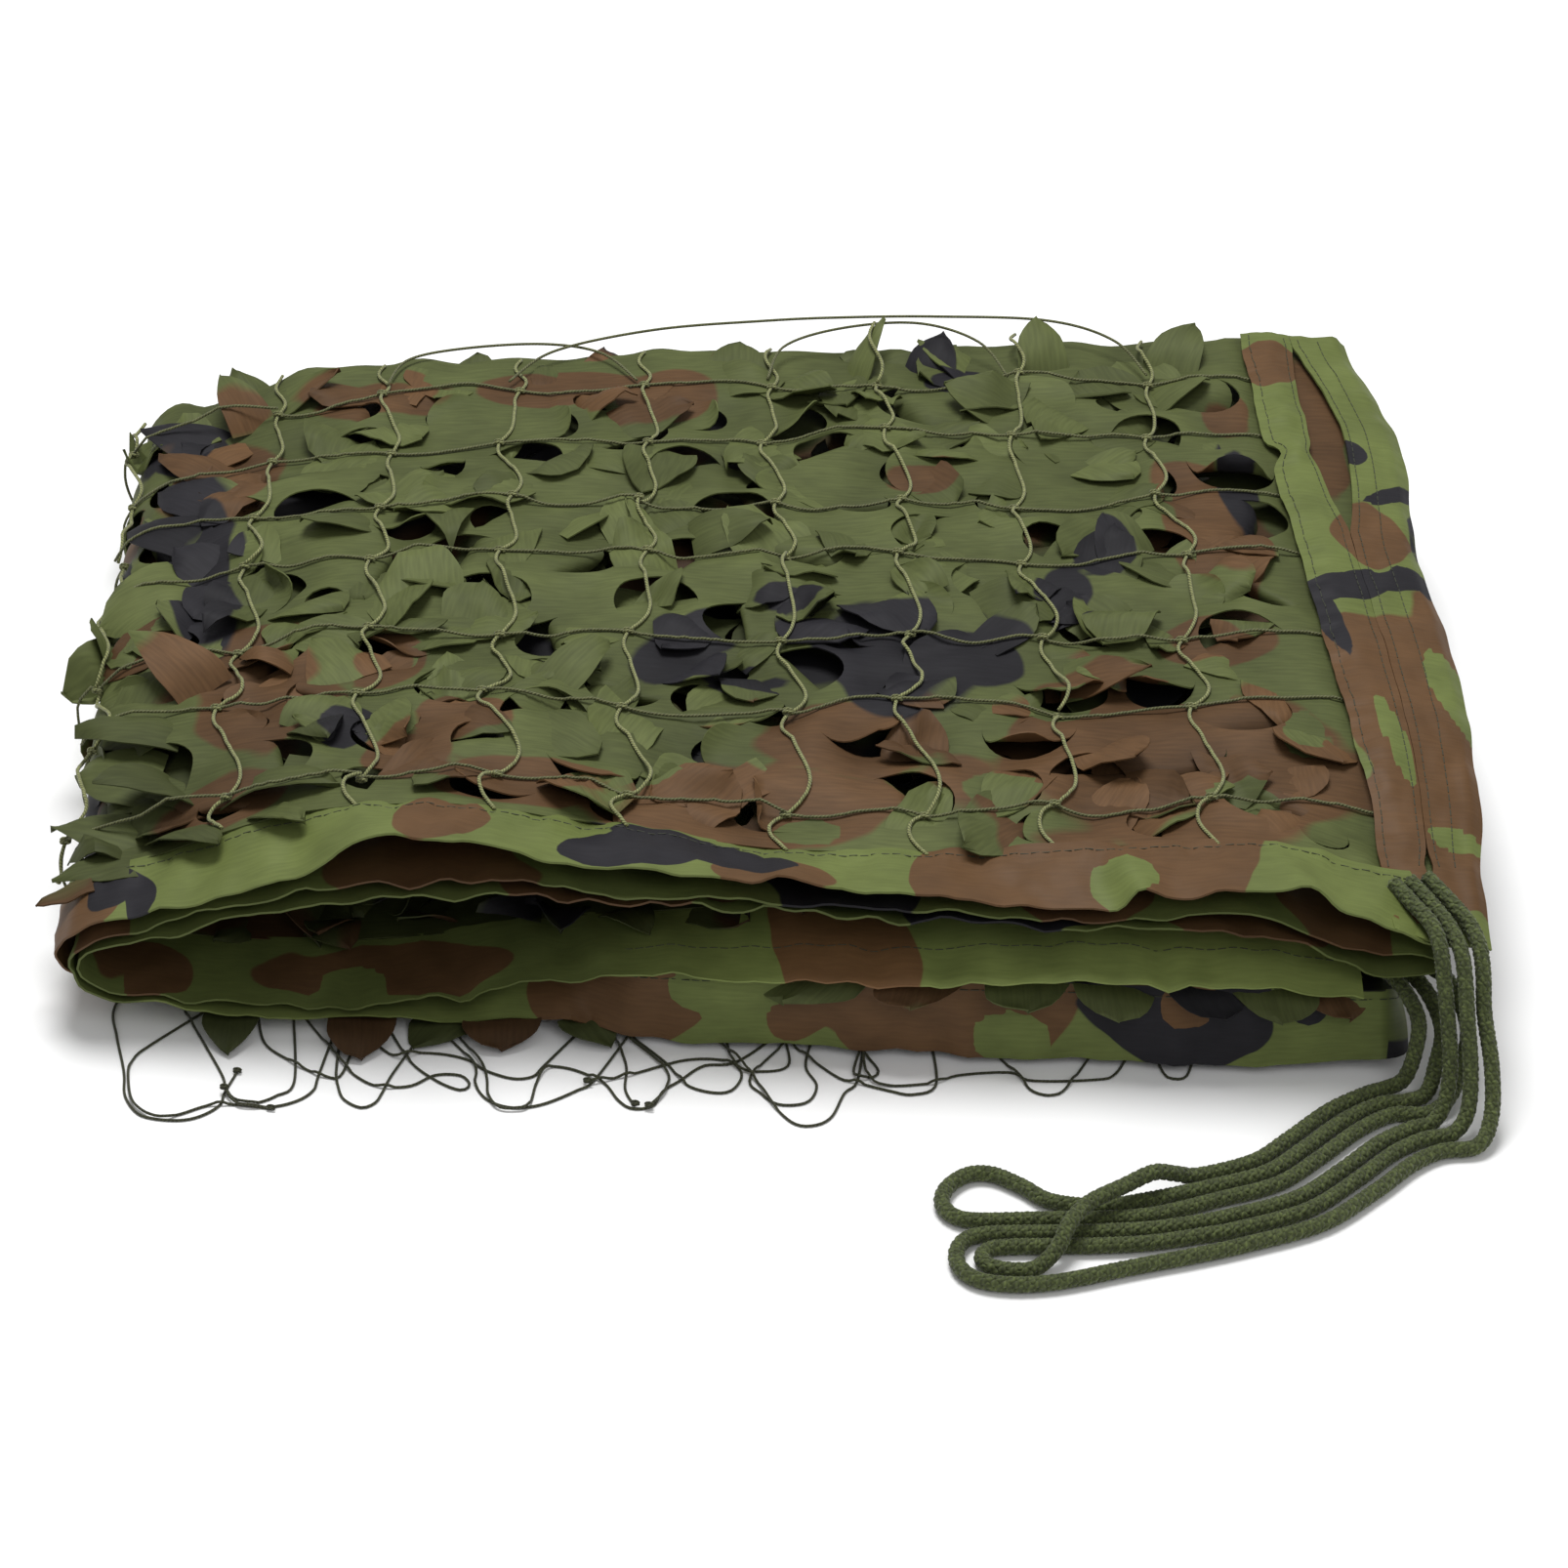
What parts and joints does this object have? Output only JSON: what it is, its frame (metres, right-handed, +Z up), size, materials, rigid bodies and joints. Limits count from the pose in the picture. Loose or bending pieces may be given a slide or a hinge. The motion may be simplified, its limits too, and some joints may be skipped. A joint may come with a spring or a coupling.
{
  "type": "camouflage net",
  "caption": "Leaf-cut woodland camouflage cloth folded into a low rectangular stack, edged with tape, overlaid with a knotted cord mesh, with a green drawcord at one corner.",
  "frame": {"origin": "middle of the underside of the folded stack, with its slack net rows counted and its drawcord left out", "axes": "+X towards the stack's right end where the drawcord leaves, +Y towards its back, +Z up"},
  "size_m": [0.4285, 0.4351, 0.0728],
  "materials": {
    "garnish_cloth": "matt leaf-cut printed polyester",
    "front_binding": "matt printed polyester tape",
    "end_binding": "matt printed polyester band",
    "cord_mesh": "matt olive twisted cord",
    "drawcord": "matt green braided rope"
  },
  "bodies": {
    "root": {"garnish_cloth": "garnish_cloth", "front_binding": "front_binding", "end_binding": "end_binding", "cord_mesh": "cord_mesh", "drawcord_a": "drawcord", "drawcord_b": "drawcord", "drawcord_c": "drawcord"}
  },
  "joints": []
}
